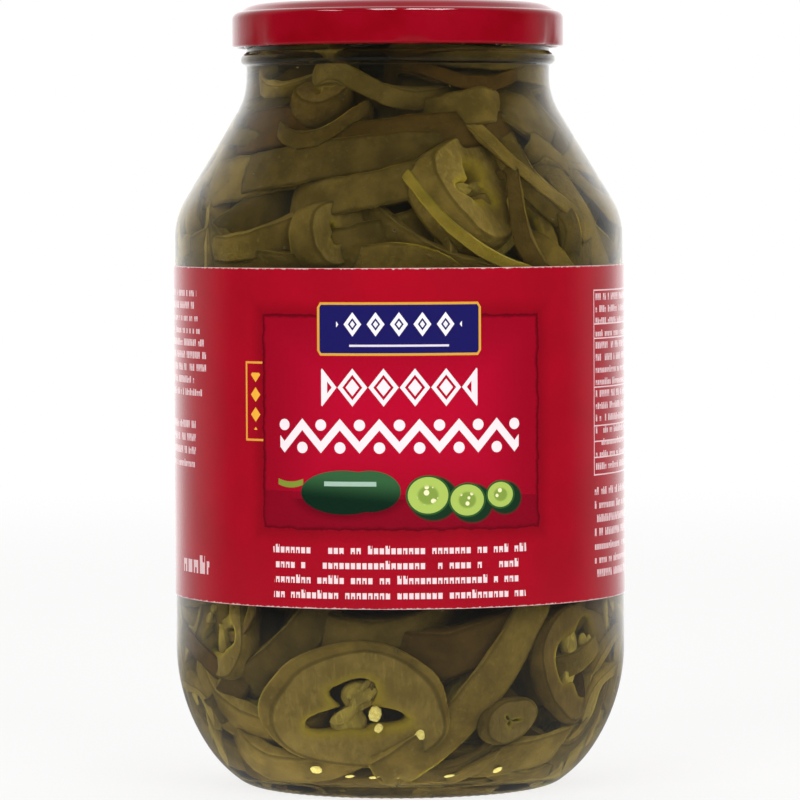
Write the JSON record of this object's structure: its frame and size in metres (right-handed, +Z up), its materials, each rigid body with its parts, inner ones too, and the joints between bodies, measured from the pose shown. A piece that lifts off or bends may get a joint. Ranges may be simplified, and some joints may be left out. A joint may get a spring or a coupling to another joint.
{
  "type": "jar of sliced jalapenos",
  "caption": "Tall glass catering jar with a twist-off lid and a red wrap-round label, filled with pickled pepper slices in brine.",
  "frame": {"origin": "centre of the base, on the surface that the jar stands on", "axes": "+Z up along the jar's axis, -Y towards the front of the label"},
  "size_m": [0.1404, 0.1406, 0.2431],
  "materials": {
    "glass": "clear flint glass, smooth and glossy",
    "lid": "glossy red enamel on tinplate",
    "seal": "soft grey-white sealing compound",
    "label": "coated paper, printed in red, satin",
    "brine": "olive pickled peppers in greenish yellow brine"
  },
  "bodies": {
    "root": {"jar": "glass", "lid": "lid", "seal": "seal", "label": "label", "brine": "brine"}
  },
  "joints": []
}
